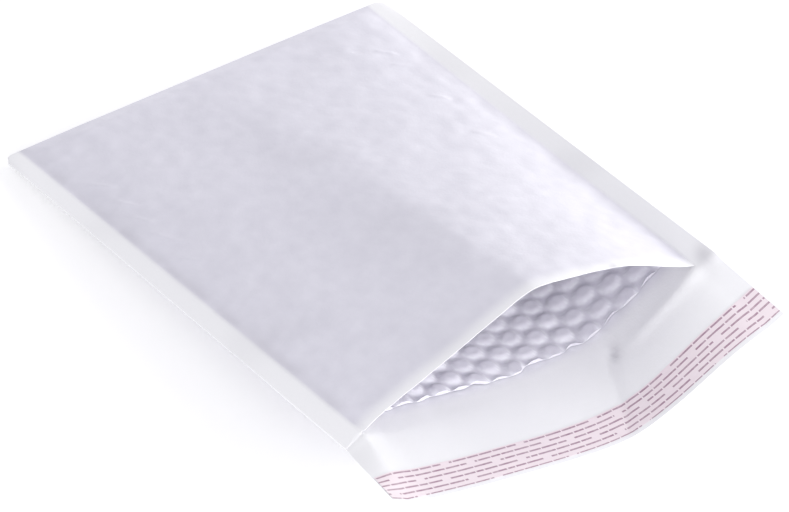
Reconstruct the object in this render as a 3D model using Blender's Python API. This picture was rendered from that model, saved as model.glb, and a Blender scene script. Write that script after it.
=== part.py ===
"""A padded paper envelope lying on its back with its mouth open and its flap unsealed.

Metres, +Z up. X runs across the envelope, +Y from the mouth to the closed end. The origin is under the middle
of the whole envelope, on the surface that it lies on.

Four pieces: the paper, the bubble lining, the band of glue on the flap and the release liner over the glue.
Paper and lining follow one shape. Down the length, "open" grows from 0 at the closed end to 1 at the mouth, and
"over" from 0 at the mouth to 1 at the free edge of the flap. The opened mouth pulls the side seams inwards and
lifts them, so the back panel is a valley that rests on its floor, and the front panel is a ridge.
"""

import bmesh
import bpy
import numpy as np

# Driving dimensions
WIDTH = 0.220
BODY_LENGTH = 0.277
FLAP_LENGTH = 0.047
SEAM_BAND = 0.011
PAPER = 0.0003
LINING = 0.0032
GAP = 0.0003

# Seams
SEAM_THICKNESS = 0.0010
SEAM_HEIGHT = 0.003
SWELL_WIDTH = 0.014
FOLD_SWELL = 0.016
FOLD_START = 0.004
FOLD_ROUND = 0.0008

# How the opened mouth moves the edges: (left, right) at the mouth, then at the free edge of the flap
MOUTH_PULL = (0.0100, 0.0095)
FLAP_PULL = (0.0030, 0.0050)
MOUTH_EDGE_LIFT = (0.0195, 0.0345)
FLAP_EDGE_LIFT = (0.0330, 0.0320)
MOUTH_SEAM_LIFT = (0.0245, 0.0290)
FLAP_SEAM_LIFT = (0.0270, 0.0280)
MOUTH_FOOT = (0.123, 0.151)
FLAP_FOOT = (0.129, 0.130)

# Valley of the back panel and ridge of the front panel
VALLEY_ROUND = 0.0115
LEFT_WING_POWER = 1.23
RIGHT_WING_POWER = 1.2
RIGHT_WING_CURL = 0.55
SETTLE = 0.0008
RIDGE_PLACE = 0.54
RIDGE_HEIGHT = 0.058
RIDGE_ROUND = 0.0062
LEFT_FLANK_SAG = 0.0013
CLOSED_SWELL = 0.0042
MOUTH_SWELL = 0.0015
RIDGE_SETBACK = 0.0045
RIDGE_SETBACK_FROM = 0.020
RIDGE_SETBACK_OVER = 0.040

# Lining
LINING_SETBACK = 0.016
LINING_END = 0.008
LINING_FOLD = 0.005
LINING_SHARE = 0.42

# Glue and release liner, measured from the mouth
LINER_FROM, LINER_TO = 0.0265, 0.0445
GLUE_MARGIN = 0.0015
GLUE = 0.00015
LINER = 0.00012
LINER_SIDE = 0.0005

# Grid
BAND_COLUMNS = 2
PANEL_COLUMNS = 26
LINING_ROWS = 16

HALF_LENGTH = (BODY_LENGTH + FLAP_LENGTH + FOLD_ROUND) / 2


def smooth(q):
    q = np.clip(q, 0.0, 1.0)
    return q * q * (3 - 2 * q)


def mix(a, b, q):
    return a + (b - a) * q


def ramp(distance):
    """Zero on one side of a foot, the distance itself on the other, and a round bend between."""
    return (distance + np.hypot(distance, VALLEY_ROUND)) / 2


def stages(along):
    """(open, over) at a distance from the closed end."""
    return np.clip(along / BODY_LENGTH, 0.0, 1.0), np.clip((along - BODY_LENGTH) / FLAP_LENGTH, 0.0, 1.0)


def edge_value(mouth, free, along, side):
    opened, over = stages(along)
    return mix(mouth[side] * opened, free[side], over)


def side_edges(along):
    """The two outer edges, as distances across from the left edge of the closed end."""
    left = edge_value(MOUTH_PULL, FLAP_PULL, along, 0)
    return left, WIDTH - edge_value(MOUTH_PULL, FLAP_PULL, along, 1)


def swell(across, along):
    """0 on the seams, where the papers are bonded, and 1 where the lining fills the envelope."""
    left, right = side_edges(along)
    opened, over = stages(along)
    inside = np.minimum(across - left, right - across) - SEAM_BAND
    from_side = mix(smooth(inside / SWELL_WIDTH), 1.0, over)
    return from_side * smooth((opened * BODY_LENGTH + FOLD_START) / FOLD_SWELL)


def seam_rise(across, along):
    """How far a seam band tilts away from its inner line."""
    rise = 0.0
    for side, edge in enumerate(side_edges(along)):
        outer = edge_value(MOUTH_EDGE_LIFT, FLAP_EDGE_LIFT, along, side)
        inner = edge_value(MOUTH_SEAM_LIFT, FLAP_SEAM_LIFT, along, side)
        rise = rise + (outer - inner) * np.clip(1 - np.abs(across - edge) / SEAM_BAND, 0.0, 1.0)
    return rise


def back_height(across, along):
    """Underside of the back panel and the flap: a flat floor between two feet, and a wing up to each seam."""
    left, right = side_edges(along)
    over = stages(along)[1]
    inner_left, inner_right = left + SEAM_BAND, right - SEAM_BAND
    place = np.clip(across, inner_left, inner_right)
    left_foot = mix(MOUTH_FOOT[0], FLAP_FOOT[0], over)
    right_foot = mix(MOUTH_FOOT[1], FLAP_FOOT[1], over)
    up_left = ramp(left_foot - place) / ramp(left_foot - inner_left)
    up_right = ramp(place - right_foot) / ramp(inner_right - right_foot)
    left_wing = edge_value(MOUTH_SEAM_LIFT, FLAP_SEAM_LIFT, along, 0) * up_left**LEFT_WING_POWER
    right_wing = edge_value(MOUTH_SEAM_LIFT, FLAP_SEAM_LIFT, along, 1) * mix(
        up_right**RIGHT_WING_POWER, smooth(up_right), RIGHT_WING_CURL
    )
    seams = SEAM_HEIGHT * (1 - swell(across, along)) + seam_rise(across, along)
    return np.maximum(left_wing + right_wing + seams - SETTLE, 0.0)


def front_height(across, along):
    """Top of the front panel: a straight flank up from each seam to a round ridge, and the lining's swell on it."""
    left, right = side_edges(along)
    opened = stages(along)[0]
    inner_left, inner_right = left + SEAM_BAND, right - SEAM_BAND
    place = np.clip(across, inner_left, inner_right)
    lift_left = edge_value(MOUTH_SEAM_LIFT, FLAP_SEAM_LIFT, along, 0)
    lift_right = edge_value(MOUTH_SEAM_LIFT, FLAP_SEAM_LIFT, along, 1)
    top = RIDGE_HEIGHT * opened
    ridge = mix(left, right, RIDGE_PLACE)
    slope_left = (top - lift_left) / (ridge - inner_left)
    slope_right = (top - lift_right) / (inner_right - ridge)

    def tent(x):
        bend = np.hypot(x - ridge, RIDGE_ROUND) * (slope_left + slope_right)
        return top + ((slope_left - slope_right) * (x - ridge) - bend) / 2

    share = (place - inner_left) / (inner_right - inner_left)
    lost = mix(lift_left - tent(inner_left), lift_right - tent(inner_right), share)
    flank = np.clip((place - inner_left) / (ridge - inner_left), 0.0, 1.0)
    sag = LEFT_FLANK_SAG * opened * np.sin(np.pi * flank) ** 2
    padding = mix(CLOSED_SWELL, MOUTH_SWELL, opened) * swell(across, along)
    seams = SEAM_HEIGHT + SEAM_THICKNESS - SETTLE + seam_rise(across, along)
    return tent(place) + lost - sag + padding + seams


def columns(along):
    """Places across for every row: the left seam band, the panel and the right seam band."""
    left, right = (edge[:, None] for edge in side_edges(along))
    band = np.linspace(0.0, SEAM_BAND, BAND_COLUMNS + 1)
    panel = np.linspace(0.0, 1.0, PANEL_COLUMNS + 1)[1:-1]
    across = mix(left + SEAM_BAND, right - SEAM_BAND, panel)
    return np.hstack([left + band, across, right - band[::-1]])


def points(across, along, height, setback=0.0):
    """World positions of a grid."""
    y = HALF_LENGTH - FOLD_ROUND - along + setback
    return np.stack(np.broadcast_arrays(across - WIDTH / 2, y, height), axis=-1)


def ridge_setback(across, along, height):
    """A ridge is longer than the flat sheet, so the mouth edge of the front panel draws back where it is high."""
    return RIDGE_SETBACK * stages(along)[0] * np.clip((height - RIDGE_SETBACK_FROM) / RIDGE_SETBACK_OVER, 0.0, 1.0)


def back_points(across, along, above=0.0):
    return points(across, along, back_height(across, along) + above)


def front_points(across, along, below=0.0):
    height = front_height(across, along)
    return points(across, along, height - below, ridge_setback(across, along, height))


class Surface:
    """Patches of quads that share their borders, welded into one closed body."""

    def __init__(self):
        self.verts = []
        self.faces = []

    def add(self, grid):
        """A grid of points, rows by columns, as quads."""
        start = len(self.verts)
        rows, cols = grid.shape[:2]
        self.verts.extend(grid.reshape(-1, 3).tolist())
        index = start + np.arange(rows * cols).reshape(rows, cols)
        quads = np.stack([index[:-1, :-1], index[:-1, 1:], index[1:, 1:], index[1:, :-1]], axis=-1)
        self.faces.extend(quads.reshape(-1, 4).tolist())

    def add_strip(self, *lines):
        """Walls between neighbouring lines of points."""
        self.add(np.stack(lines, axis=0))

    def add_polygon(self, corners):
        start = len(self.verts)
        self.verts.extend(np.asarray(corners).tolist())
        self.faces.append(list(range(start, start + len(corners))))

    def build(self, name, material):
        mesh = bpy.data.meshes.new(name)
        mesh.from_pydata(self.verts, [], self.faces)
        edit = bmesh.new()
        edit.from_mesh(mesh)
        bmesh.ops.remove_doubles(edit, verts=edit.verts, dist=1e-6)
        bmesh.ops.recalc_face_normals(edit, faces=edit.faces)
        edit.to_mesh(mesh)
        edit.free()
        mesh.shade_smooth()
        mesh.set_sharp_from_angle(angle=np.radians(40))
        mesh.materials.append(material)
        piece = bpy.data.objects.new(name, mesh)
        bpy.context.collection.objects.link(piece)
        return piece


def finish(name, colour, roughness, alpha=1.0):
    material = bpy.data.materials.new(name)
    material.use_nodes = True
    shader = material.node_tree.nodes["Principled BSDF"]
    shader.inputs["Base Color"].default_value = (*colour, 1.0)
    shader.inputs["Roughness"].default_value = roughness
    shader.inputs["Alpha"].default_value = alpha
    return material


def body_rows():
    """Rows of the body: the fold, the lining's closed end, even steps along the lining, its open end and the mouth."""
    lining = np.linspace(LINING_END + LINING_FOLD, BODY_LENGTH - LINING_SETBACK, LINING_ROWS)
    return np.concatenate([[0.0, LINING_END], lining, [BODY_LENGTH - LINING_SETBACK / 2, BODY_LENGTH]])


def flap_rows():
    """Rows of the flap: the mouth line, the free edge, and both borders of the glue and of the liner."""
    plain = np.linspace(0.0, LINER_FROM, 5)
    taped = np.array([LINER_FROM + GLUE_MARGIN, (LINER_FROM + LINER_TO) / 2, LINER_TO - GLUE_MARGIN, LINER_TO])
    return BODY_LENGTH + np.concatenate([plain, taped, [FLAP_LENGTH]])


def make_paper():
    """One folded sheet: front panel, closed end, back panel and flap, with its sides bonded in flat seam bands."""
    body = body_rows()[:, None]
    flap = flap_rows()[:, None]
    along = np.concatenate([body, flap[1:]])
    mouth = len(body) - 1
    inside = slice(BAND_COLUMNS, BAND_COLUMNS + PANEL_COLUMNS + 1)

    front_outer = front_points(columns(body[:, 0]), body)
    back_outer = back_points(columns(along[:, 0]), along)
    flap_inner = back_points(columns(flap[:, 0]), flap, PAPER)
    front_inner = front_points(columns(body[:, 0]), body, PAPER)[:, inside]
    back_inner = back_points(columns(body[:, 0]), body, PAPER)[:, inside]
    for pocket in (front_inner, back_inner):
        pocket[0, :, 1] -= PAPER

    fold = (front_outer[0] + back_outer[0]) / 2
    fold[:, 1] += FOLD_ROUND

    paper = Surface()
    paper.add(front_outer)
    paper.add(back_outer)
    paper.add(flap_inner)
    paper.add(front_inner)
    paper.add(back_inner)
    paper.add_strip(front_outer[0], fold, back_outer[0])
    paper.add_strip(front_inner[0], back_inner[0])
    for edge in (0, -1):
        middle = back_outer[: mouth + 1, edge] + (0.0, 0.0, PAPER)
        middle[0] = fold[edge]
        paper.add_strip(front_outer[:, edge], middle, back_outer[: mouth + 1, edge])
        paper.add_strip(front_inner[:, edge], back_inner[:, edge])
        paper.add_strip(flap_inner[:, edge], back_outer[mouth:, edge])
    paper.add_strip(flap_inner[-1], back_outer[-1])
    paper.add_strip(front_outer[mouth, inside], front_inner[mouth])

    # The cut ends of the seam bands at the mouth, down to the flap's inner face
    last = front_outer.shape[1] - 1
    for edge, step, pocket_edge in ((0, 1, 0), (last, -1, -1)):
        for column in range(BAND_COLUMNS):
            near, far = edge + step * column, edge + step * (column + 1)
            corners = [flap_inner[0, near], flap_inner[0, far]]
            if column == BAND_COLUMNS - 1:
                corners.append(front_inner[mouth, pocket_edge])
            paper.add_polygon([*corners, front_outer[mouth, far], front_outer[mouth, near]])
    return paper.build("paper_envelope", finish("white_paper", (0.84, 0.83, 0.88), 0.62))


def make_lining():
    """One folded sheet of bubble film, drawn as a plain pad: a layer under each panel, joined at the closed end."""
    along = body_rows()[1:-2, None]
    across = columns(along[:, 0])[:, BAND_COLUMNS + 1 : -BAND_COLUMNS - 1]

    clear = PAPER + GAP
    front = front_height(across, along)
    floor = back_height(across, along) + clear
    room = front - clear - floor
    thickness = np.minimum(LINING, LINING_SHARE * room)
    setback = ridge_setback(across, along, front)
    back_under = points(across, along, floor)
    back_upper = points(across, along, floor + thickness)
    front_under = points(across, along, front - clear - thickness, setback)
    front_upper = points(across, along, front - clear, setback)

    lining = Surface()
    lining.add(back_under)
    lining.add(front_upper)
    lining.add(back_upper[1:])
    lining.add(front_under[1:])
    lining.add_strip(back_under[0], front_upper[0])
    lining.add_strip(back_upper[1], front_under[1])
    lining.add_strip(back_under[-1], back_upper[-1])
    lining.add_strip(front_under[-1], front_upper[-1])
    for edge in (0, -1):
        lining.add_strip(back_under[1:, edge], back_upper[1:, edge])
        lining.add_strip(front_under[1:, edge], front_upper[1:, edge])
        fold = [back_under[0, edge], back_under[1, edge], back_upper[1, edge]]
        fold += [front_under[1, edge], front_upper[1, edge], front_upper[0, edge]]
        lining.add_polygon(fold)
    return lining.build("bubble_lining", finish("bubble_film", (0.80, 0.80, 0.84), 0.35))


def make_band(name, rows, lowest, thickness, inset, material):
    """A thin band across the flap's inner face, over the same columns as the paper under it."""
    along = (BODY_LENGTH + rows)[:, None]
    across = columns(along[:, 0])
    across[:, 0] += inset
    across[:, -1] -= inset
    under = back_points(across, along, lowest)
    upper = back_points(across, along, lowest + thickness)
    band = Surface()
    band.add(under)
    band.add(upper)
    for edge in (0, -1):
        band.add_strip(under[edge], upper[edge])
        band.add_strip(under[:, edge], upper[:, edge])
    return band.build(name, material)


def make_glue():
    rows = np.array([LINER_FROM + GLUE_MARGIN, (LINER_FROM + LINER_TO) / 2, LINER_TO - GLUE_MARGIN])
    glue = finish("clear_glue", (0.86, 0.84, 0.78), 0.25)
    return make_band("adhesive_strip", rows, PAPER + GAP, GLUE, LINER_SIDE + GLUE_MARGIN, glue)


def make_release_liner():
    rows = flap_rows()[-6:-1] - BODY_LENGTH
    tape = finish("pink_release_paper", (0.92, 0.76, 0.80), 0.4)
    return make_band("release_liner", rows, PAPER + GAP + GLUE + GAP, LINER, LINER_SIDE, tape)


def main():
    for old in list(bpy.data.objects):
        bpy.data.objects.remove(old, do_unlink=True)
    make_paper()
    make_lining()
    make_glue()
    make_release_liner()


main()
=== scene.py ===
"""A padded paper envelope that lies open: white paper, bubble film, glue band, release liner, floor and light.

Metres, +Z up. "across" runs from the left edge of the closed end to the right one, and "along" from the closed end
to the free edge of the flap. Every surface here is a function of those two.
"""

import bmesh
import bpy
import numpy as np
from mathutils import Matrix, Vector


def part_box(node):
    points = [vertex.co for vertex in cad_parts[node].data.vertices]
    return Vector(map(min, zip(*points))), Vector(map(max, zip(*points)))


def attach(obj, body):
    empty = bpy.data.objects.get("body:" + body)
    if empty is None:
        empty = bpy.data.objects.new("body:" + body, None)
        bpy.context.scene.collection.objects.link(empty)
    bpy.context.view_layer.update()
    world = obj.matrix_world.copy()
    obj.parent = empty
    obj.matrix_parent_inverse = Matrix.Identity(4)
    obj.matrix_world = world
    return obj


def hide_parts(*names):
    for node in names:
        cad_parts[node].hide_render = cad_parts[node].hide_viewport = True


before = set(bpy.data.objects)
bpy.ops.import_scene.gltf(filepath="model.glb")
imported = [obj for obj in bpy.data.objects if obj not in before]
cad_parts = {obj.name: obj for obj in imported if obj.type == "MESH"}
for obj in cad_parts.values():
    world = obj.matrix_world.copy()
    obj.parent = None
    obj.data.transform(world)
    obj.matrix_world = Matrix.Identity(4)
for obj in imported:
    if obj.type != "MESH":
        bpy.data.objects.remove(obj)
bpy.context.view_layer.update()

# The sheet, from the frame and from its own driving dimensions
PAPER_LOW, PAPER_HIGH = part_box("paper_envelope")
WIDTH = PAPER_HIGH.x - PAPER_LOW.x
HALF_LENGTH = PAPER_HIGH.y
BODY_LENGTH = 0.277
FOLD_ROUND = 0.0008
FLAP_LENGTH = 2 * HALF_LENGTH - FOLD_ROUND - BODY_LENGTH
SEAM_BAND = 0.0085
PAPER = 0.0003

# Seams
SEAM_THICKNESS = 0.0009
SEAM_HEIGHT = 0.003
SWELL_WIDTH = 0.014
FOLD_SWELL = 0.016
FOLD_START = 0.004
SEAM_ROLL = 0.012
SLOW_ROLL = 0.036
SLOW_SHARE = 0.75

# How the opened mouth moves the edges: (left, right) at the mouth, then at the free edge of the flap
MOUTH_PULL = (0.0100, 0.0095)
FLAP_PULL = (0.0030, 0.0050)
MOUTH_EDGE_LIFT = (0.0195, 0.0345)
FLAP_EDGE_LIFT = (0.0330, 0.0320)
MOUTH_SEAM_LIFT = (0.0245, 0.0290)
FLAP_SEAM_LIFT = (0.0270, 0.0280)
MOUTH_FOOT = (0.123, 0.151)
FLAP_FOOT = (0.129, 0.130)

# Valley of the back panel and ridge of the front panel
VALLEY_ROUND = 0.0115
LEFT_WING_POWER = 1.23
RIGHT_WING_POWER = 1.2
RIGHT_WING_CURL = 0.55
SETTLE = 0.0008
RIDGE_PLACE = 0.522
RIDGE_HEIGHT = 0.058
RIDGE_ROUND = 0.0075
LEFT_FLANK_SAG = 0.0013
RIGHT_FLANK_BULGE = 0.0030
CORNER_ROUND = 0.005
CLOSED_SWELL = 0.0042
MOUTH_SWELL = 0.0015
RIDGE_SETBACK = 0.0045
RIDGE_SETBACK_FROM = 0.020
RIDGE_SETBACK_OVER = 0.040

# Bubble film
FILM_START = 0.013
FILM_FOLD = 0.008
FILM_SETBACK = 0.016
BARE_BACK = 0.009
BARE_FRONT = 0.0
FILM_MARGIN = 0.004
FILM_CLEAR = 0.0005
FILM_SHEET = 0.00018
FILM_DEPTH = 0.0020
FILM_SHARE = 0.42
BUBBLE_PITCH = 0.012
BUBBLE_RADIUS = 0.0054

# Release liner and glue, from the frame
LINER_LOW, LINER_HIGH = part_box("release_liner")
LINER_FROM = HALF_LENGTH - FOLD_ROUND - LINER_HIGH.y - BODY_LENGTH
LINER_TO = HALF_LENGTH - FOLD_ROUND - LINER_LOW.y - BODY_LENGTH
GLUE_MARGIN = 0.0015
LINER_SIDE = 0.0005
GLUE = 0.00006
GLUE_CLEAR = 0.00004
LINER = 0.00010
LINER_CLEAR = 0.00014

# Grids: steps of the coarse faces. A fine face has twice as many each way
BAND_STEPS = 4
PANEL_STEPS = 88
BODY_STEPS = 120
FLAP_STEPS = 26
FILM_COLUMN_STEPS = 72
FILM_ROW_STEPS = 96

# Camera and light
VIEW_TURN = np.radians(34.7)
VIEW_ELEVATION = np.radians(40.8)
VIEW_DISTANCE = 1.864
VIEW_AIM = Vector((0.005, -0.0007, 0.0))
LENS = 182.4


def smooth(q):
    """An even step from 0 to 1: 3q squared less 2q cubed."""
    q = np.clip(q, 0.0, 1.0)
    return q * q * (3 - 2 * q)


def mix(a, b, q):
    """The value a share q of the way from a to b."""
    return a + (b - a) * q


def bell(distance, width):
    """1 in the middle, falling off as the exponential of minus the squared distance over the width."""
    return np.exp(-((distance / width) ** 2))


LATTICE = 64


def hills(across, along, size, seed, turn=0.6):
    """Soft random heights from -1 to 1: seeded heights on a turned square lattice, joined by smooth steps."""
    heights = np.random.default_rng(seed).uniform(-1, 1, (LATTICE, LATTICE))
    u = (across * np.cos(turn) + along * np.sin(turn)) / size
    v = (along * np.cos(turn) - across * np.sin(turn)) / size
    column, row = np.floor(u).astype(int), np.floor(v).astype(int)
    p, q = smooth(u - column), smooth(v - row)
    low, high = row % LATTICE, (row + 1) % LATTICE
    left, right = column % LATTICE, (column + 1) % LATTICE
    return mix(mix(heights[low, left], heights[low, right], p), mix(heights[high, left], heights[high, right], p), q)


def crumple(across, along, size, seed):
    """Creased facets: the size of a soft random height, so that it has a sharp valley wherever that passes zero."""
    soft = hills(across, along, size, seed) + 0.5 * hills(across, along, size / 2, seed + 1, 1.1)
    return np.abs(soft) - 0.4


def crease(across, along, start, end, width, height):
    """One crease: a bell across the line from start to end, at full height in the middle and fading at both ends."""
    du, dv = end[0] - start[0], end[1] - start[1]
    length = np.hypot(du, dv)
    down_line = ((across - start[0]) * du + (along - start[1]) * dv) / length**2
    off_line = ((along - start[1]) * du - (across - start[0]) * dv) / length
    fade = smooth(down_line / 0.3) * smooth((1 - down_line) / 0.3)
    return height * fade * bell(off_line, width)


def dent(across, along, place, size, turn, height):
    """A soft oval rise or hollow: a bell in both directions, with its long side turned from across."""
    du, dv = across - place[0], along - place[1]
    u = du * np.cos(turn) + dv * np.sin(turn)
    v = dv * np.cos(turn) - du * np.sin(turn)
    return height * bell(u, size[0]) * bell(v, size[1])


# The envelope's shape, as the frame has it


def ramp(distance):
    """Zero on one side of a foot, the distance itself on the other, and a round bend between."""
    return (distance + np.hypot(distance, VALLEY_ROUND)) / 2


def stages(along):
    """(open, over): 0 to 1 from the closed end to the mouth, and 0 to 1 from there to the flap's free edge."""
    return np.clip(along / BODY_LENGTH, 0.0, 1.0), np.clip((along - BODY_LENGTH) / FLAP_LENGTH, 0.0, 1.0)


def edge_value(mouth, free, along, side):
    """Grows evenly from 0 to its value at the mouth, then goes evenly to its value at the free edge."""
    opened, over = stages(along)
    return mix(mouth[side] * opened, free[side], over)


def side_edges(along):
    """The two outer edges, as distances across from the left edge of the closed end."""
    left = edge_value(MOUTH_PULL, FLAP_PULL, along, 0)
    return left, WIDTH - edge_value(MOUTH_PULL, FLAP_PULL, along, 1)


def inside_seams(across, along):
    """Distance from the nearer seam band's inner line, positive over the pocket."""
    left, right = side_edges(along)
    return np.minimum(across - left, right - across) - SEAM_BAND


def swell(across, along):
    """0 on the seams, where the papers are bonded, and 1 where the lining fills the envelope."""
    opened, over = stages(along)
    from_side = mix(smooth(inside_seams(across, along) / SWELL_WIDTH), 1.0, over)
    return from_side * smooth((opened * BODY_LENGTH + FOLD_START) / FOLD_SWELL)


def seam_rise(across, along):
    """How far a seam band tilts away from its inner line."""
    rise = 0.0
    for side, edge in enumerate(side_edges(along)):
        outer = edge_value(MOUTH_EDGE_LIFT, FLAP_EDGE_LIFT, along, side)
        inner = edge_value(MOUTH_SEAM_LIFT, FLAP_SEAM_LIFT, along, side)
        rise = rise + (outer - inner) * np.clip(1 - np.abs(across - edge) / SEAM_BAND, 0.0, 1.0)
    return rise


def back_height(across, along):
    """Underside of the back panel and the flap: a flat floor between two feet, and a wing up to each seam."""
    left, right = side_edges(along)
    over = stages(along)[1]
    inner_left, inner_right = left + SEAM_BAND, right - SEAM_BAND
    place = np.clip(across, inner_left, inner_right)
    left_foot = mix(MOUTH_FOOT[0], FLAP_FOOT[0], over)
    right_foot = mix(MOUTH_FOOT[1], FLAP_FOOT[1], over)
    up_left = ramp(left_foot - place) / ramp(left_foot - inner_left)
    up_right = ramp(place - right_foot) / ramp(inner_right - right_foot)
    left_wing = edge_value(MOUTH_SEAM_LIFT, FLAP_SEAM_LIFT, along, 0) * up_left**LEFT_WING_POWER
    right_wing = edge_value(MOUTH_SEAM_LIFT, FLAP_SEAM_LIFT, along, 1) * mix(
        up_right**RIGHT_WING_POWER, smooth(up_right), RIGHT_WING_CURL
    )
    seams = SEAM_HEIGHT * (1 - swell(across, along)) + seam_rise(across, along)
    return np.maximum(left_wing + right_wing + seams - SETTLE, 0.0)


def puff(across, along):
    """How full the front panel is: a quick rise just inside the seams, a slow one after it, and 1 in the middle."""
    inside = inside_seams(across, along)
    rise = mix(smooth(inside / SEAM_ROLL), smooth(inside / SLOW_ROLL), SLOW_SHARE)
    return rise * smooth((along + FOLD_START) / FOLD_SWELL)


def front_height(across, along):
    """Top of the front panel: a straight flank up from each seam to a round ridge, and the lining's puff on it."""
    left, right = side_edges(along)
    opened = stages(along)[0]
    inner_left, inner_right = left + SEAM_BAND, right - SEAM_BAND
    place = np.clip(across, inner_left, inner_right)
    lift_left = edge_value(MOUTH_SEAM_LIFT, FLAP_SEAM_LIFT, along, 0)
    lift_right = edge_value(MOUTH_SEAM_LIFT, FLAP_SEAM_LIFT, along, 1)
    top = RIDGE_HEIGHT * opened
    ridge = mix(left, right, RIDGE_PLACE)
    slope_left = (top - lift_left) / (ridge - inner_left)
    slope_right = (top - lift_right) / (inner_right - ridge)

    def tent(x):
        bend = np.hypot(x - ridge, RIDGE_ROUND) * (slope_left + slope_right)
        return top + ((slope_left - slope_right) * (x - ridge) - bend) / 2

    share = (place - inner_left) / (inner_right - inner_left)
    lost = mix(lift_left - tent(inner_left), lift_right - tent(inner_right), share)
    flank = np.clip((place - inner_left) / (ridge - inner_left), 0.0, 1.0)
    other_flank = np.clip((inner_right - place) / (inner_right - ridge), 0.0, 1.0)
    sag = LEFT_FLANK_SAG * opened * np.sin(np.pi * flank) ** 2
    sag = sag - RIGHT_FLANK_BULGE * opened**2 * np.sin(np.pi * other_flank) ** 2
    padding = mix(CLOSED_SWELL, MOUTH_SWELL, opened) * puff(across, along)
    seams = SEAM_HEIGHT + SEAM_THICKNESS - SETTLE + seam_rise(across, along)
    return tent(place) + lost - sag + padding + seams


def ridge_setback(along, height):
    """A ridge is longer than the flat sheet, so the mouth edge of the front panel draws back where it is high."""
    return RIDGE_SETBACK * stages(along)[0] * np.clip((height - RIDGE_SETBACK_FROM) / RIDGE_SETBACK_OVER, 0.0, 1.0)


def place_points(across, along, height, setback=0.0):
    """Positions in the frame, from places on the sheet and their heights; the closed end's corners are rounded."""
    beside = np.clip(CORNER_ROUND - WIDTH / 2 + np.abs(across - WIDTH / 2), 0.0, CORNER_ROUND)
    corner = CORNER_ROUND - np.sqrt(CORNER_ROUND**2 - beside**2)
    y = HALF_LENGTH - FOLD_ROUND - along + setback - corner * (1 - smooth(along / 0.03))
    return np.stack(np.broadcast_arrays(across - WIDTH / 2, y, height), axis=-1)


# What the film and the handling do to the paper


def bubble_places(across, along):
    """Distance to the nearest middle of a triangular lattice of bubbles, and a seeded chance from 0 to 1 for each."""
    chances = np.random.default_rng(7).uniform(0, 1, (LATTICE, LATTICE))
    step = BUBBLE_PITCH * np.sqrt(3) / 2
    first = np.floor(across / step)
    nearest, chance = np.inf, 0.0
    for column in (first, first + 1):
        shift = (column % 2) / 2
        row = np.round(along / BUBBLE_PITCH - shift)
        distance = np.hypot(across - column * step, along - (row + shift) * BUBBLE_PITCH)
        closer = distance < nearest
        own = chances[column.astype(int) % LATTICE, row.astype(int) % LATTICE]
        nearest, chance = np.where(closer, distance, nearest), np.where(closer, own, chance)
    return nearest, chance


def mottle(across, along):
    """Paper over bubbles: a low dome over each, as strong as its own chance, on soft uneven ground."""
    distance, chance = bubble_places(across, along)
    domes = 0.00030 * mix(0.1, 1.0, chance) * bell(distance, 0.0040)
    ground = 0.00026 * hills(across, along, 0.0065, 11) + 0.00050 * hills(across, along, 0.021, 12)
    return domes * mix(0.3, 1.0, smooth(0.5 + hills(across, along, 0.045, 13))) + ground


WRINKLES = (
    ((0.0185, 0.044), (0.0285, 0.060), 0.0014, 0.0007),
    ((0.0190, 0.062), (0.0290, 0.081), 0.0016, 0.0008),
    ((0.0200, 0.080), (0.0275, 0.095), 0.0012, 0.0006),
    ((0.0205, 0.096), (0.0300, 0.118), 0.0015, 0.0007),
    ((0.0220, 0.122), (0.0290, 0.136), 0.0012, 0.0005),
    ((0.1860, 0.040), (0.1960, 0.050), 0.0011, 0.0006),
    ((0.1850, 0.056), (0.1960, 0.063), 0.0011, 0.0005),
    ((0.1830, 0.090), (0.1930, 0.100), 0.0013, 0.0005),
    ((0.1800, 0.130), (0.1900, 0.141), 0.0013, 0.0004),
)


def front_wear(across, along):
    """Height that the front panel gains: mottle, fine creases, puckers at the seams and the soft folds of handling."""
    inside = inside_seams(across, along)
    opened = stages(along)[0]
    over_film = smooth(inside / 0.006) * smooth(along / 0.008)
    height = mottle(across, along) * mix(1.0, 0.65, opened) + 0.00014 * crumple(across, along, 0.016, 21)
    puckers = 0.0005 * hills(inside * 0.4, along, 0.011, 31, 0.0) * bell(inside - 0.006, 0.007)
    at_left = smooth((WIDTH / 2 - across) / 0.02)
    trough = -0.0006 * bell(inside - 0.0025, 0.003) * (1 + 0.6 * hills(inside * 0.2, along, 0.009, 32, 0.0)) * at_left
    height = (height + puckers) * over_film + trough * smooth(along / 0.02) * smooth(inside / 0.001)
    for start, end, width, rise in WRINKLES:
        height = height + crease(across, along, start, end, width, rise)
    height = height + dent(across, along, (0.158, 0.022), (0.026, 0.011), -0.50, -0.0013)
    height = height + dent(across, along, (0.078, 0.140), (0.085, 0.016), 1.75, -0.0009) * over_film
    return height * smooth((inside + 0.0005) / 0.002)


FLAP_CREASES = (
    ((0.1560, 0.270), (0.1300, 0.326), 0.0016, -0.0016),
    ((0.1600, 0.262), (0.1540, 0.285), 0.0010, -0.0012),
    ((0.0060, 0.279), (0.0250, 0.2795), 0.0010, 0.0006),
)


def back_wear(across, along):
    """Height that the back panel and the flap gain: soft uneven ground, the flap's own fold and creases in the valley."""
    over = stages(along)[1]
    lifted = smooth(back_height(across, along) / 0.004)
    height = 0.00030 * hills(across, along, 0.024, 41) + 0.00012 * crumple(across, along, 0.030, 42)
    right_fold = smooth((across - 0.154) / 0.02)
    height = height + 0.0011 * bell(along - BODY_LENGTH - 0.0015, 0.0035) * right_fold
    height = height * lifted * mix(1.0, 0.7, over) * smooth((WIDTH / 2 - np.abs(across - WIDTH / 2)) / 0.012)
    for start, end, width, rise in FLAP_CREASES:
        height = height + crease(across, along, start, end, width, rise)
    return height


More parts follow.
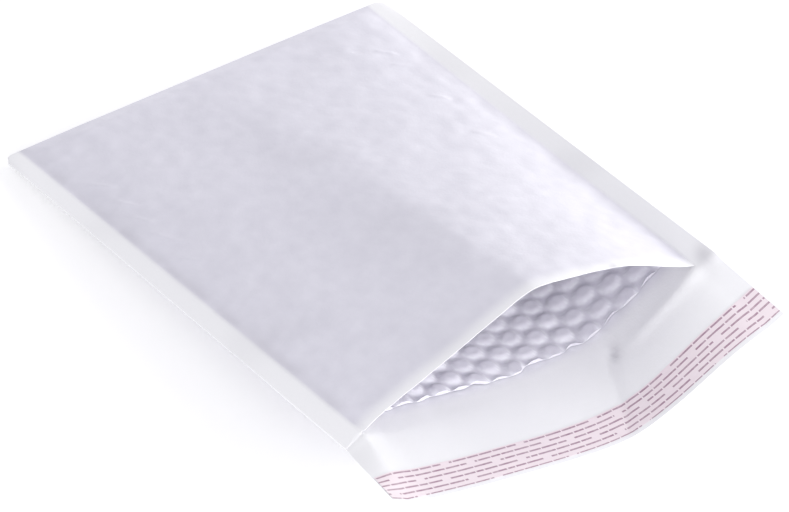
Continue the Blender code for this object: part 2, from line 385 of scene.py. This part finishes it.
def unshaded_paper_share(across, along, margin):
    """1 where the paper lies on paper and shows its own white, falling to 0 over the film, where the material paints a
    shade on it, with a soft border.
    """
    inside = inside_seams(across, along)
    over_film = smooth((inside + 0.0005) / 0.0012) * smooth((BODY_LENGTH - margin - along) / 0.010)
    return 1 - over_film


def soil_and_shade_share(across, along):
    """Grey of handling as seeded clouds, and painted shade: a line in the trough beside the left seam, a spot at the
    mouth's right corner where the flap curls, and a spot where the valley's crease ends.
    """
    inside = inside_seams(across, along)
    # Painted shade in the trough just inside the left seam, scalloped by hills.
    beside = bell(inside - 0.0022, 0.0026) * mix(0.5, 1.0, smooth(0.5 + hills(inside * 0.3, along, 0.008, 52, 0.0)))
    beside = beside * smooth((WIDTH / 2 - across) / 0.02) * smooth((BODY_LENGTH - along) / 0.03)
    clouds = 0.12 * smooth(hills(across, along, 0.03, 51) - 0.2) + 0.26 * beside
    # Painted shade at the curl of the mouth's right corner and at the dimple where the valley's crease ends.
    corner = dent(across, along, (0.207, BODY_LENGTH), (0.004, 0.007), 0.3, 0.5)
    valley = dent(across, along, (0.157, BODY_LENGTH), (0.002, 0.005), 0.6, 0.5)
    return clouds + corner + valley


def with_finish(points, across, along, margin):
    """Points with two more numbers: how clear the paper is there of the painted shade over the film, and how much soil
    and painted shade it has.
    """
    shape = points.shape[:-1]
    unshaded_paper = np.broadcast_to(unshaded_paper_share(across, along, margin), shape)
    soil_and_shade = np.broadcast_to(soil_and_shade_share(across, along), shape)
    return np.concatenate([points, unshaded_paper[..., None], soil_and_shade[..., None]], axis=-1)


def back_sheet(across, along, above=0.0):
    """The back panel and the flap with their wear, this far above the underside and never under the floor."""
    height = back_height(across, along)
    height = np.maximum(height + back_wear(across, along), 0.0) + above
    return with_finish(place_points(across, along, height), across, along, BARE_BACK)


def front_sheet(across, along, below=0.0):
    """The front panel with its wear and its drawn back mouth edge, this far below its top."""
    height = front_height(across, along)
    setback = ridge_setback(along, height)
    height = height + front_wear(across, along) - below
    return with_finish(place_points(across, along, height, setback), across, along, BARE_FRONT)


def columns(along):
    """Places across for every row: the left seam band, the panel and the right seam band, at the fine step."""
    left, right = (edge[:, None] for edge in side_edges(along))
    band = np.linspace(0.0, SEAM_BAND, 2 * BAND_STEPS + 1)
    panel = np.linspace(0.0, 1.0, 2 * PANEL_STEPS + 1)[1:-1]
    across = mix(left + SEAM_BAND, right - SEAM_BAND, panel)
    return np.hstack([left + band, across, right - band[::-1]])


# Meshes


class Shell:
    """Grids of points and the strips between their borders, welded into one closed surface."""

    def __init__(self):
        self.points, self.faces, self.count = [], [], 0

    def keep(self, points):
        """Adds points, and gives their numbers in the same layout."""
        numbers = self.count + np.arange(points[..., 0].size).reshape(points.shape[:-1])
        self.points.append(points.reshape(-1, points.shape[-1]))
        self.count += numbers.size
        return numbers

    def add(self, grid):
        """A grid of points, rows by columns, as quads."""
        n = self.keep(grid)
        quads = np.stack([n[:-1, :-1], n[:-1, 1:], n[1:, 1:], n[1:, :-1]], axis=-1)
        self.faces.extend(quads.reshape(-1, 4).tolist())

    def add_strip(self, *lines):
        """Walls between neighbouring lines of points."""
        self.add(np.stack(lines, axis=0))

    def add_transition(self, fine, coarse):
        """A wall from a line to one with half as many steps, in faces of five corners."""
        f, c = self.keep(fine), self.keep(coarse)
        self.faces.extend(np.stack([c[:-1], c[1:], f[2::2], f[1::2], f[:-2:2]], axis=-1).tolist())

    def add_polygon(self, corners):
        self.faces.append(self.keep(np.stack(corners)).tolist())

    def build(self, name, material, body, node, marks=(), uv_name=None):
        """The mesh object, with its further numbers as attributes or as a UV map, riding in the node's place."""
        points = np.concatenate(self.points)
        mesh = bpy.data.meshes.new(name)
        mesh.from_pydata(points[:, :3].tolist(), [], self.faces)
        for number, mark in enumerate(marks):
            layer = mesh.attributes.new(mark, "FLOAT", "POINT")
            layer.data.foreach_set("value", points[:, 3 + number].astype(np.float32))
        if uv_name:
            corners = np.empty(len(mesh.loops), np.int32)
            mesh.loops.foreach_get("vertex_index", corners)
            layer = mesh.uv_layers.new(name=uv_name)
            layer.data.foreach_set("uv", points[corners][:, 3:5].astype(np.float32).ravel())
        edit = bmesh.new()
        edit.from_mesh(mesh)
        bmesh.ops.remove_doubles(edit, verts=edit.verts, dist=1e-6)
        bmesh.ops.recalc_face_normals(edit, faces=edit.faces)
        edit.to_mesh(mesh)
        edit.free()
        mesh.shade_smooth()
        mesh.set_sharp_from_angle(angle=np.radians(50))
        mesh.materials.append(material)
        piece = bpy.data.objects.new(name, mesh)
        bpy.context.collection.objects.link(piece)
        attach(piece, body)
        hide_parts(node)
        return piece


def make_paper(material):
    """One folded sheet with a real thickness: front panel, closed end, back panel and flap, bonded at its sides.

    The front panel is a fine grid, and the faces that are mostly hidden are grids with half as many steps.
    """
    body = np.linspace(0.0, BODY_LENGTH, 2 * BODY_STEPS + 1)
    flap = np.linspace(BODY_LENGTH, BODY_LENGTH + FLAP_LENGTH, FLAP_STEPS + 1)
    coarse_body = body[::2]
    back = np.concatenate([coarse_body, flap[1:]])
    inside = slice(BAND_STEPS, BAND_STEPS + PANEL_STEPS + 1)
    fine_inside = slice(2 * BAND_STEPS, 2 * (BAND_STEPS + PANEL_STEPS) + 1)

    front_outer = front_sheet(columns(body), body[:, None])
    back_outer = back_sheet(columns(back)[:, ::2], back[:, None])
    flap_inner = back_sheet(columns(flap)[:, ::2], flap[:, None], PAPER)
    front_inner = front_sheet(columns(coarse_body)[:, ::2], coarse_body[:, None], PAPER)[:, inside]
    back_inner = back_sheet(columns(coarse_body)[:, ::2], coarse_body[:, None], PAPER)[:, inside]
    for pocket in (front_inner, back_inner):
        pocket[0, :, 1] -= PAPER

    top, bottom = front_outer[0, ::2], back_outer[0]
    arc = []
    for turn in np.linspace(0, np.pi, 5)[1:-1]:
        line = mix(top, bottom, (1 - np.cos(turn)) / 2)
        line[:, 1] += FOLD_ROUND * np.sin(turn)
        arc.append(line)

    paper = Shell()
    for grid in (front_outer, back_outer, flap_inner, front_inner, back_inner):
        paper.add(grid)
    paper.add_transition(front_outer[0], arc[0])
    paper.add_strip(*arc, bottom)
    paper.add_strip(front_inner[0], back_inner[0])
    for edge in (0, -1):
        low = back_outer[: BODY_STEPS + 1, edge]
        middle = low.copy()
        middle[:, 2] += PAPER
        paper.add_transition(front_outer[:, edge], middle)
        paper.add_strip(middle, low)
        paper.add_polygon([top[edge], *(line[edge] for line in arc), bottom[edge], middle[0]])
        paper.add_strip(front_inner[:, edge], back_inner[:, edge])
        paper.add_strip(flap_inner[:, edge], back_outer[BODY_STEPS:, edge])
    paper.add_strip(flap_inner[-1], back_outer[-1])
    paper.add_transition(front_outer[-1, fine_inside], front_inner[-1])

    # The cut ends of the seam bands at the mouth, down to the flap's inner face
    for edge, step, pocket_edge in ((0, 1, 0), (BAND_STEPS * 2 + PANEL_STEPS, -1, -1)):
        for column in range(BAND_STEPS):
            near, far = edge + step * column, edge + step * (column + 1)
            corners = [flap_inner[0, near], flap_inner[0, far]]
            if column == BAND_STEPS - 1:
                corners.append(front_inner[-1, pocket_edge])
            corners += [front_outer[-1, 2 * far], front_outer[-1, near + far], front_outer[-1, 2 * near]]
            paper.add_polygon(corners)
    return paper.build("envelope_paper", material, "root", "paper_envelope", ("unshaded_paper", "soil_and_shade"))


def bubble_heights(across, along):
    """Share of the film's depth: a steep side and a flat, slightly sunken top on each bubble, some of them slack; and a
    ring round the foot of each bubble that carries a painted highlight.
    """
    distance, chance = bubble_places(across, along)
    share = 1 - distance / BUBBLE_RADIUS
    full = mix(0.55, 1.0, smooth(chance * 1.6))
    dimple = 0.10 * bell(distance, 0.0022) * (1 - chance)
    wrinkle = 0.05 * hills(across, along, 0.0022, 61)
    return smooth(share / 0.42) * (full - dimple + wrinkle), smooth(1 - np.abs(share - 0.12) / 0.16)


def make_film(material):
    """Bubble film under both panels, folded at the closed end: a flat sheet with a dome raised on it at each bubble."""
    end = BODY_LENGTH - FILM_SETBACK
    along = np.linspace(FILM_START, end, 2 * FILM_ROW_STEPS + 1)[:, None]
    left, right = side_edges(along)
    share = np.linspace(0.0, 1.0, 2 * FILM_COLUMN_STEPS + 1)
    across = mix(left + SEAM_BAND + FILM_MARGIN, right - SEAM_BAND - FILM_MARGIN, share)

    front = front_height(across, along)
    setback = ridge_setback(along, front)
    ceiling = front + front_wear(across, along) - PAPER - FILM_CLEAR
    floor = back_height(across, along) + PAPER + FILM_CLEAR
    depth = np.minimum(FILM_DEPTH, FILM_SHARE * (ceiling - floor))
    domes, rim_highlights = bubble_heights(across, along)
    raised = FILM_SHEET + (depth - FILM_SHEET) * np.clip(domes, 0.0, 1.0)
    near_cut = smooth((along - end + 0.010) / 0.010)
    cut = -0.0016 * hills(across, along * 0.3, 0.006, 62, 0.0) * near_cut

    def film_points(height, back=0.0):
        placed = place_points(across, along, height, back + cut)
        return np.concatenate([placed, rim_highlights[..., None]], axis=-1)

    back_upper = film_points(floor + raised)
    front_under = film_points(ceiling - raised, setback)
    back_under = film_points(floor)[::2, ::2]
    front_upper = film_points(ceiling, setback)[::2, ::2]

    outer, inner = [], []
    for turn in np.linspace(0, np.pi, 7):
        swing = (1 - np.cos(turn)) / 2
        outer_line = mix(front_upper[0], back_under[0], swing)
        outer_line[:, 1] += (FILM_START - FILM_FOLD) * np.sin(turn)
        inner_line = mix(front_under[0], back_upper[0], swing)
        inner_line[:, 1] += (FILM_START - FILM_FOLD - FILM_SHEET) * np.sin(turn)
        outer.append(outer_line)
        inner.append(inner_line)

    film = Shell()
    for grid in (back_upper, front_under, back_under, front_upper):
        film.add(grid)
    film.add_strip(*outer)
    film.add_strip(*inner)
    film.add_transition(back_upper[-1], back_under[-1])
    film.add_transition(front_under[-1], front_upper[-1])
    for edge in (0, -1):
        film.add_transition(back_upper[:, edge], back_under[:, edge])
        film.add_transition(front_under[:, edge], front_upper[:, edge])
        film.add_polygon([line[edge] for line in outer] + [line[edge] for line in reversed(inner)])
    piece = film.build("bubble_film", material, "root", "bubble_lining", ("rim_highlight",))
    return piece


def make_band(name, node, material, start, end, inset, lowest, thickness):
    """A thin closed band across the flap's inner face, over the same columns as the paper, with places as its UV."""
    along = np.linspace(BODY_LENGTH + start, BODY_LENGTH + end, 13)
    across = columns(along)[:, ::2]
    across[:, 0] += inset
    across[:, -1] -= inset

    def band_points(above):
        placed = back_sheet(across, along[:, None], PAPER + above)[..., :3]
        strip = np.stack(np.broadcast_arrays(across, along[:, None] - BODY_LENGTH - start), axis=-1)
        return np.concatenate([placed, strip], axis=-1)

    under, upper = band_points(lowest), band_points(lowest + thickness)
    band = Shell()
    band.add(under)
    band.add(upper)
    for edge in (0, -1):
        band.add_strip(under[edge], upper[edge])
        band.add_strip(under[:, edge], upper[:, edge])
    return band.build(name, material, "root", node, uv_name="strip")


# Finishes


class Finish:
    """A material and a short way to add and join its nodes."""

    def __init__(self, name, **sockets):
        self.material = bpy.data.materials.new(name)
        self.material.use_nodes = True
        self.tree = self.material.node_tree
        self.shader = self.tree.nodes["Principled BSDF"]
        for socket, value in sockets.items():
            self.shader.inputs[socket.replace("_", " ")].default_value = value

    def node(self, kind, settings=None, **sockets):
        """A node with its settings, and its sockets set to a value or joined to another node's output."""
        made = self.tree.nodes.new(kind)
        for setting, value in (settings or {}).items():
            setattr(made, setting, value)
        for socket, value in sockets.items():
            name = socket.replace("_", " ")
            target = made.inputs[int(name[5:])] if name.startswith("input") else made.inputs[name]
            if isinstance(value, bpy.types.NodeSocket):
                self.tree.links.new(value, target)
            else:
                target.default_value = value
        return made

    def math(self, operation, first, second=0.0, clamp=False):
        made = self.node("ShaderNodeMath", {"operation": operation, "use_clamp": clamp}, input0=first, input1=second)
        return made.outputs[0]

    def blend(self, share, first, second):
        """A colour between two, by a share."""
        made = self.node("ShaderNodeMix", {"data_type": "RGBA"}, Factor=share)
        for socket, value in zip((made.inputs[6], made.inputs[7]), (first, second)):
            if isinstance(value, bpy.types.NodeSocket):
                self.tree.links.new(value, socket)
            else:
                socket.default_value = (*value, 1.0)
        return made.outputs[2]

    def noise(self, scale, detail=3.0, roughness=0.5, stretch=(1.0, 1.0, 1.0)):
        """Noise on the piece's own coordinates."""
        place = self.node("ShaderNodeTexCoord").outputs["Object"]
        turned = self.node("ShaderNodeMapping", Vector=place, Scale=stretch).outputs[0]
        made = self.node("ShaderNodeTexNoise", Vector=turned, Scale=scale, Detail=detail, Roughness=roughness)
        return made.outputs["Factor"] if "Factor" in made.outputs else made.outputs["Fac"]

    def mark(self, name):
        return self.node("ShaderNodeAttribute", {"attribute_name": name}).outputs["Fac"]

    def join(self, socket, output):
        self.tree.links.new(output, self.shader.inputs[socket])

    def bump(self, *layers):
        """Bumps laid over each other, each a height and the distance in metres that it stands for."""
        normal = None
        for height, distance in layers:
            made = self.node("ShaderNodeBump", Height=height, Distance=distance, Strength=1.0)
            if normal is not None:
                self.tree.links.new(normal, made.inputs["Normal"])
            normal = made.outputs[0]
        self.join("Normal", normal)


def white_paper():
    """Smooth white paper with a fine grain: its own white where it lies on paper, a painted shade over the film
    blotched by noise, and grey where the soil and shade mark says, part handling soil and part painted shade.
    """
    finish = Finish("white_paper", IOR=1.45)
    clouds = finish.noise(38.0, 2.0, 0.6)
    blotches = finish.noise(170.0, 1.0, 0.5, (1.0, 0.7, 1.0))
    tone = finish.math("ADD", finish.math("MULTIPLY", clouds, 0.5), finish.math("MULTIPLY", blotches, 0.5))
    # Painted shade: paper over the film gets this greyer, noise blotched tone in place of its own white, standing in
    # for light lost into the pocket behind it.
    film_shaded = finish.blend(tone, (0.685, 0.675, 0.748), (0.835, 0.825, 0.895))
    paper = finish.blend(finish.mark("unshaded_paper"), film_shaded, (0.945, 0.945, 0.96))
    # Soil and painted shade: this grey is handling soil in the clouds, and painted shade in the left seam's trough, at
    # the mouth's right corner and at the valley's crease end.
    soiled_and_shaded = finish.blend(finish.mark("soil_and_shade"), paper, (0.50, 0.49, 0.53))
    fibres = finish.noise(1400.0, 2.0, 0.6, (1.0, 0.45, 1.0))
    speck = finish.math("MULTIPLY", finish.math("SUBTRACT", fibres, 0.62, True), 0.5)
    finish.join("Base Color", finish.blend(speck, soiled_and_shaded, (0.58, 0.57, 0.62)))
    sheen = finish.math("MULTIPLY_ADD", finish.noise(220.0, 3.0), 0.14)
    sheen.node.inputs[2].default_value = 0.50
    finish.join("Roughness", sheen)
    finish.bump((finish.noise(420.0, 3.0, 0.6), 0.00010), (fibres, 0.00004))
    return finish.material


def bubble_film():
    """Milky film with a painted highlight on a ring round each bubble's foot, smooth enough to shine."""
    finish = Finish("bubble_film", IOR=1.5)
    clouds = finish.noise(60.0, 3.0, 0.6)
    body = finish.blend(clouds, (0.785, 0.77, 0.84), (0.825, 0.81, 0.88))
    # Painted highlight: the rings get a brighter, bluer white than the film.
    finish.join("Base Color", finish.blend(finish.mark("rim_highlight"), body, (0.93, 0.93, 0.98)))
    shine = finish.math("MULTIPLY_ADD", finish.noise(260.0, 2.0), 0.16)
    shine.node.inputs[2].default_value = 0.24
    finish.join("Roughness", shine)
    finish.bump((finish.noise(520.0, 3.0, 0.6), 0.00010))
    return finish.material


def clear_glue():
    """Tacky clear glue, uneven where it was rolled on."""
    finish = Finish("clear_glue", IOR=1.48)
    streaks = finish.noise(120.0, 3.0, 0.6, (0.15, 1.0, 1.0))
    finish.join("Base Color", finish.blend(streaks, (0.80, 0.78, 0.72), (0.88, 0.87, 0.83)))
    finish.join("Roughness", finish.math("MULTIPLY", streaks, 0.4))
    finish.bump((streaks, 0.00005))
    return finish.material


PRINT_PITCH = 0.00333
PRINT_FIRST = 0.0278
PRINT_HEIGHT = 0.30
GROUP_LENGTH = 0.0405
GROUP_GAP = 0.0045
GROUP_SHIFT = 0.0115
DASH_LENGTH = 0.0075
DASH_GAP = 0.045
DASH_SHIFT = 17.37


def pink_release_paper():
    """Pale pink waxed paper with lines of plain grey red dashes.

    A line is a row of groups with a gap between them, each line's groups are shifted from the last line's, and a group
    is broken by small gaps at uneven places.
    """
    finish = Finish("pink_release_paper", IOR=1.45)
    place = finish.node("ShaderNodeSeparateXYZ", Vector=finish.node("ShaderNodeUVMap", {"uv_map": "strip"}).outputs[0])
    first = PRINT_FIRST - LINER_FROM - PRINT_PITCH / 2
    line = finish.math("DIVIDE", finish.math("SUBTRACT", place.outputs[1], first), PRINT_PITCH)
    number = finish.math("FLOOR", line)
    off_line = finish.math("ABSOLUTE", finish.math("SUBTRACT", finish.math("FRACT", line), 0.5))
    on_line = finish.math("LESS_THAN", off_line, PRINT_HEIGHT / 2)
    shift = finish.math("MULTIPLY", number, -GROUP_SHIFT)
    group = finish.math("FRACT", finish.math("DIVIDE", finish.math("ADD", place.outputs[0], shift), GROUP_LENGTH))
    grouped = finish.math("GREATER_THAN", group, GROUP_GAP / GROUP_LENGTH)
    along_line = finish.math("DIVIDE", place.outputs[0], DASH_LENGTH)
    steps = finish.math("ADD", along_line, finish.math("MULTIPLY", number, DASH_SHIFT))
    breaks = finish.node(
        "ShaderNodeTexVoronoi", {"voronoi_dimensions": "1D", "feature": "DISTANCE_TO_EDGE"}, W=steps, Scale=1.0
    )
    dash = finish.math("GREATER_THAN", breaks.outputs["Distance"], DASH_GAP)
    printed = finish.math("MULTIPLY", finish.math("MULTIPLY", on_line, grouped), dash)
    ink = finish.math("MULTIPLY_ADD", finish.noise(420.0, 2.0), 0.7)
    ink.node.inputs[2].default_value = 0.40
    clouds = finish.noise(70.0, 3.0)
    pink = finish.blend(clouds, (0.90, 0.79, 0.835), (0.94, 0.84, 0.88))
    finish.join("Base Color", finish.blend(finish.math("MULTIPLY", printed, ink), pink, (0.33, 0.17, 0.25)))
    finish.shader.inputs["Roughness"].default_value = 0.42
    finish.bump((finish.noise(500.0, 2.0), 0.00004))
    return finish.material


# Floor, light and camera


def make_floor():
    """A wide square of pale board that the envelope lies on."""
    half = 4.0
    mesh = bpy.data.meshes.new("floor")
    corners = [(-half, -half, -0.0001), (half, -half, -0.0001), (half, half, -0.0001), (-half, half, -0.0001)]
    mesh.from_pydata(corners, [], [(0, 1, 2, 3)])
    finish = Finish("pale_board", Roughness=0.9, Emission_Strength=0.20)
    finish.shader.inputs["Emission Color"].default_value = (1.0, 1.0, 1.0, 1.0)
    grain = finish.noise(30.0, 4.0)
    finish.join("Base Color", finish.blend(grain, (0.93, 0.93, 0.93), (0.96, 0.96, 0.96)))
    mesh.materials.append(finish.material)
    floor = bpy.data.objects.new("floor", mesh)
    bpy.context.collection.objects.link(floor)


def make_light(name, turn, rise, distance, size, power, colour):
    """A round soft light that looks at the middle of the envelope, turned from across and raised by these angles."""
    light = bpy.data.lights.new(name, "AREA")
    light.shape = "DISK"
    light.size = size
    light.energy = power
    light.color = colour
    turn, rise = np.radians((turn, rise))
    toward = Vector((np.cos(turn) * np.cos(rise), np.sin(turn) * np.cos(rise), np.sin(rise)))
    lamp = bpy.data.objects.new(name, light)
    lamp.location = toward * distance
    lamp.rotation_euler = (-toward).to_track_quat("-Z", "Y").to_euler()
    bpy.context.collection.objects.link(lamp)


def make_lights():
    """Low soft lights at the right, in front and at the left, and an even pale violet surround that gives the most."""
    make_light("right_softbox", 30, 12, 0.9, 0.45, 2.9, (1.0, 0.99, 0.97))
    make_light("front_softbox", -60, 12, 0.9, 0.45, 4.3, (1.0, 1.0, 0.99))
    make_light("left_softbox", 240, 20, 0.9, 0.45, 1.4, (1.0, 1.0, 1.0))
    world = bpy.data.worlds.new("studio")
    world.use_nodes = True
    world.node_tree.nodes["Background"].inputs["Color"].default_value = (0.965, 0.96, 1.0, 1.0)
    world.node_tree.nodes["Background"].inputs["Strength"].default_value = 0.80
    bpy.context.scene.world = world


def make_camera():
    """Looks down at the mouth from its left, from far enough to keep the sides nearly parallel."""
    data = bpy.data.cameras.new("camera")
    data.lens = LENS
    level = np.cos(VIEW_ELEVATION)
    ahead = Vector((np.sin(VIEW_TURN) * level, np.cos(VIEW_TURN) * level, -np.sin(VIEW_ELEVATION)))
    camera = bpy.data.objects.new("camera", data)
    camera.location = VIEW_AIM - ahead * VIEW_DISTANCE
    camera.rotation_euler = ahead.to_track_quat("-Z", "Y").to_euler()
    bpy.context.collection.objects.link(camera)
    bpy.context.scene.camera = camera


def main():
    make_camera()
    make_lights()
    make_floor()
    make_paper(white_paper())
    make_film(bubble_film())
    glue_start, glue_end = LINER_FROM + GLUE_MARGIN, LINER_TO - GLUE_MARGIN
    glue_side = LINER_SIDE + GLUE_MARGIN
    make_band(
        "glue_band", "adhesive_strip", clear_glue(), glue_start, glue_end, glue_side, GLUE_CLEAR, GLUE
    )
    make_band(
        "release_liner_paper", "release_liner", pink_release_paper(),
        LINER_FROM, LINER_TO, LINER_SIDE, LINER_CLEAR, LINER,
    )
    bpy.context.scene.view_settings.view_transform = "Standard"


main()
